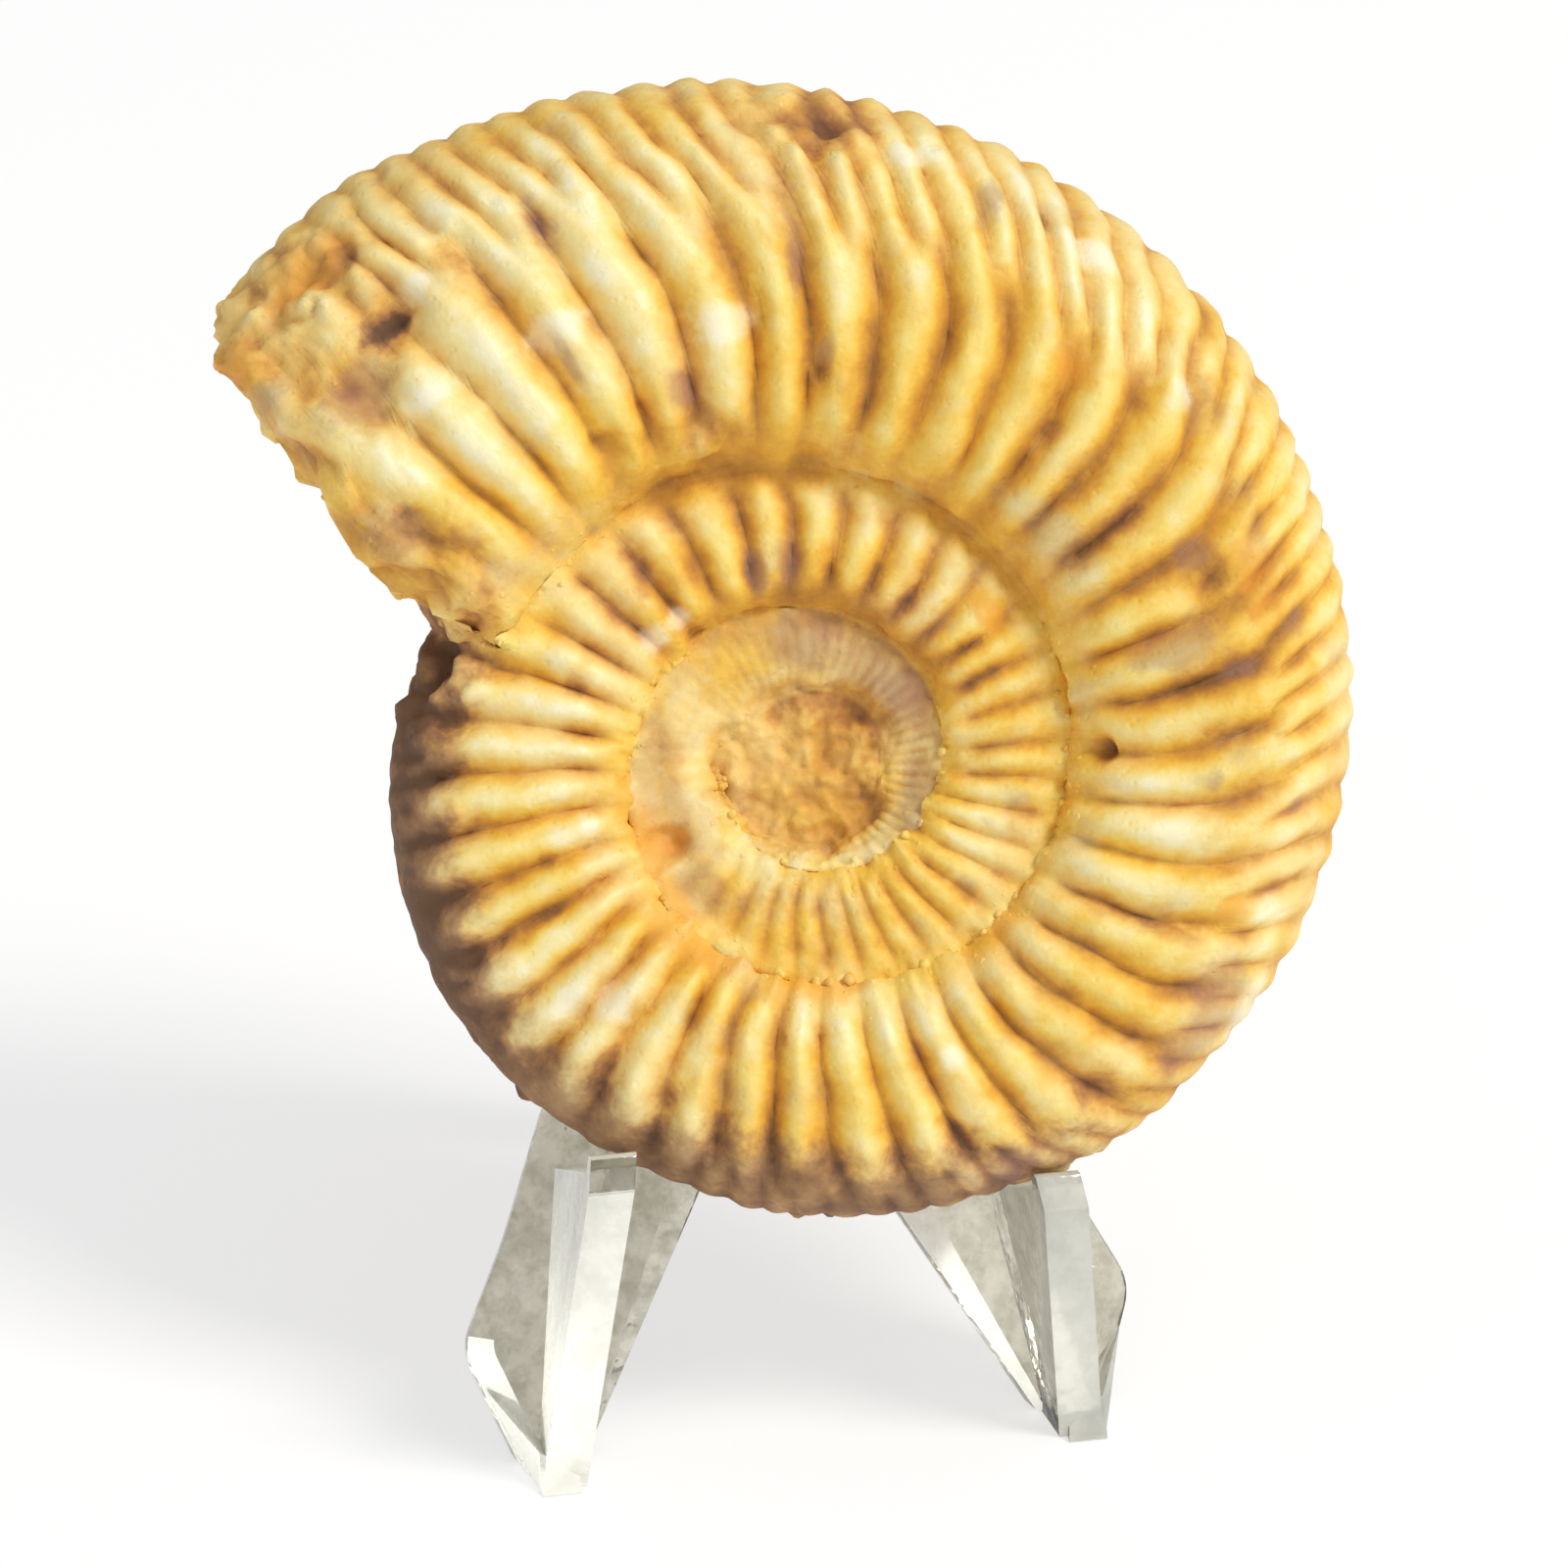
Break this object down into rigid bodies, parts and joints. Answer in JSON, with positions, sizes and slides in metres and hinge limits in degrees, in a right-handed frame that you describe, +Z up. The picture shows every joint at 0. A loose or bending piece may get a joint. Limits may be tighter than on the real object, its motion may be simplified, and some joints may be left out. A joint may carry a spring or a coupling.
{
  "type": "perisphinctes ammonite fossil on an easel",
  "caption": "Ribbed coiled ammonite fossil leaning on a small clear plastic easel with two ledged front legs and a rear brace.",
  "frame": {"origin": "on the table, under the middle of the whole part's box", "axes": "+Z up, front of the shell and of the easel towards -Y, +X to the right as seen from the front"},
  "size_m": [0.0601, 0.0464, 0.0694],
  "materials": {
    "fossil_stone": "polished calcite-filled shell, cream crests and ochre grooves with orange-brown seams",
    "clear_plastic": "clear moulded polystyrene, glossy with slight mottling"
  },
  "bodies": {
    "root": {"ammonite": "fossil_stone", "left_leg": "clear_plastic", "right_leg": "clear_plastic", "rear_brace": "clear_plastic"}
  },
  "joints": []
}
